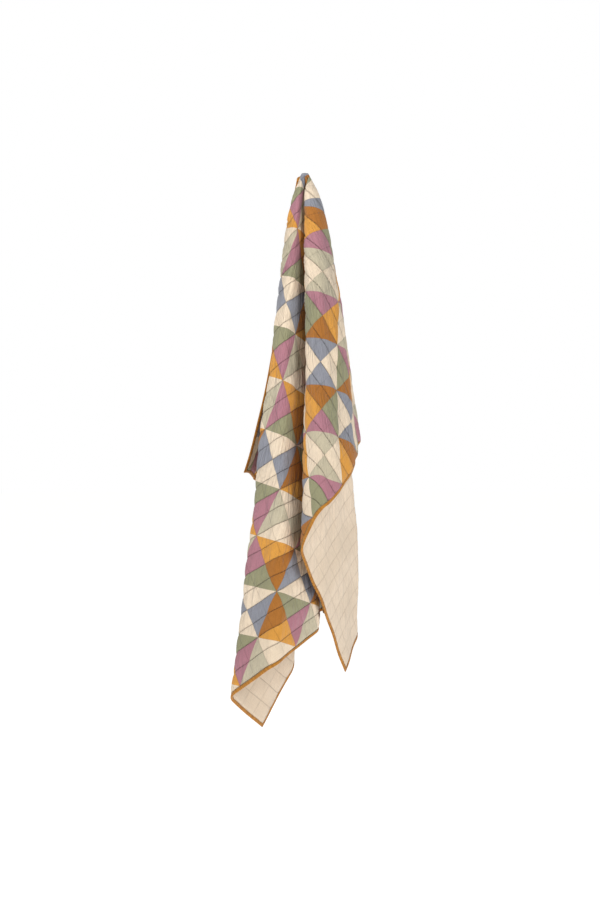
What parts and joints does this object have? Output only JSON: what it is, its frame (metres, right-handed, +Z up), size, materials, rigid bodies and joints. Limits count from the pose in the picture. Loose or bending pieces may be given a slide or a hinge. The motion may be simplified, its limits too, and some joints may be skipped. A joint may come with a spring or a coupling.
{
  "type": "cotton quilt",
  "caption": "Pieced patchwork cotton quilt with a plain backing and bound edges, hanging in deep folds from one point of a long edge.",
  "frame": {"origin": "the point of the long edge that the hook holds, at the top of the hung quilt", "axes": "+X to the right of a viewer in front, +Y away from that viewer, +Z up along the hang"},
  "size_m": [0.3558, 0.5098, 1.5612],
  "materials": {
    "patchwork": "matte printed cotton, quilted",
    "backing": "matte plain cotton",
    "binding": "matte folded cotton strip"
  },
  "bodies": {
    "root": {"patchwork_top": "patchwork", "backing": "backing", "binding": "binding"}
  },
  "joints": []
}
